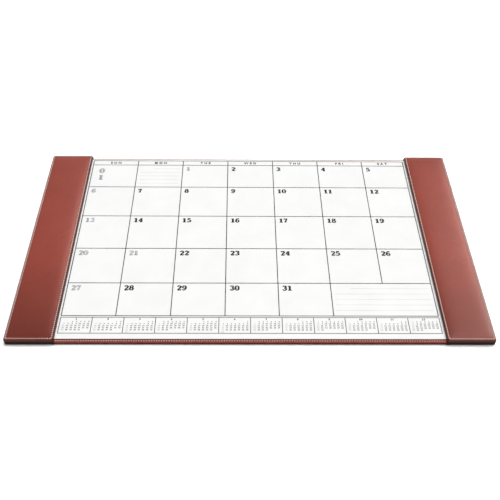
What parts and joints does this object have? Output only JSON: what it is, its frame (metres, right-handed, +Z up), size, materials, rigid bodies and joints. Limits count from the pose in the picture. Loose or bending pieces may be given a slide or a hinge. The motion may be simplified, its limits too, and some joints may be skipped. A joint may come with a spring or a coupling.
{
  "type": "desk pad calendar",
  "caption": "Leather desk pad with a padded, stitched rail along each end, under which a large tear-off month calendar is tucked and can be slid from side to side.",
  "frame": {"origin": "middle of the felt underside, on the desk", "axes": "+X to the user's right along the width, +Y away from the user, +Z up"},
  "size_m": [0.8636, 0.508, 0.0173],
  "materials": {
    "leather": "smooth red-brown leather with a fine grain and a soft sheen",
    "dark_leather": "dark brown leather binding, dull",
    "thread": "cream twisted sewing thread",
    "card": "grey-brown pressed board",
    "felt": "dark felt",
    "foam": "soft upholstery foam",
    "lining": "brown lining cloth",
    "paper": "white uncoated paper, printed in black and grey",
    "gum": "dried padding gum"
  },
  "bodies": {
    "holder": {"base_board": "card", "base_leather": "leather", "base_felt": "felt", "base_front_stitching": "thread", "base_back_stitching": "thread", "left_rail_board": "card", "left_rail_foam": "foam", "left_rail_leather": "leather", "left_rail_lining": "lining", "left_pocket_strips": "card", "left_end_binding": "dark_leather", "left_rail_stitching": "thread", "right_rail_board": "card", "right_rail_foam": "foam", "right_rail_leather": "leather", "right_rail_lining": "lining", "right_pocket_strips": "card", "right_end_binding": "dark_leather", "right_rail_stitching": "thread"},
    "calendar": {"calendar_backing": "card", "calendar_gum": "gum", "month_sheet_01": "paper", "month_sheet_02": "paper", "month_sheet_03": "paper", "month_sheet_04": "paper", "month_sheet_05": "paper", "month_sheet_06": "paper", "month_sheet_07": "paper", "month_sheet_08": "paper", "month_sheet_09": "paper", "month_sheet_10": "paper", "month_sheet_11": "paper", "month_sheet_12": "paper"}
  },
  "joints": [
    {"name": "calendar_slide", "type": "slide", "parent": "holder", "child": "calendar", "axis": [1, 0, 0], "range_m": [-0.041, 0.041]}
  ]
}
